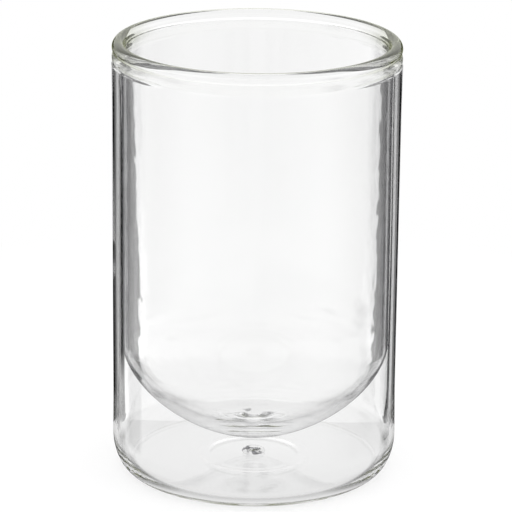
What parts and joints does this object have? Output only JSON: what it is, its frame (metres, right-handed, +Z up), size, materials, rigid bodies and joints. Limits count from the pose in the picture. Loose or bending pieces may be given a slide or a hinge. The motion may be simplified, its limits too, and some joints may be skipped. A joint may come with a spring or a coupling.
{
  "type": "double walled glass cup",
  "caption": "Straight glass cup with a round-bottomed liner fused into an outer tumbler at the lip, leaving a closed layer of air between the two walls.",
  "frame": {"origin": "on the cup's axis, on the surface that the foot ring stands on", "axes": "+Z up along the cup's axis, towards the lip"},
  "size_m": [0.08, 0.08, 0.123],
  "materials": {
    "clear_glass": "clear blown borosilicate glass, fire polished",
    "lip_glass": "clear glass seen edge on, faint olive tint, fire polished"
  },
  "bodies": {
    "root": {"outer_shell": "clear_glass", "inner_liner": "clear_glass", "rim_bead": "lip_glass", "vent_seal": "clear_glass"}
  },
  "joints": []
}
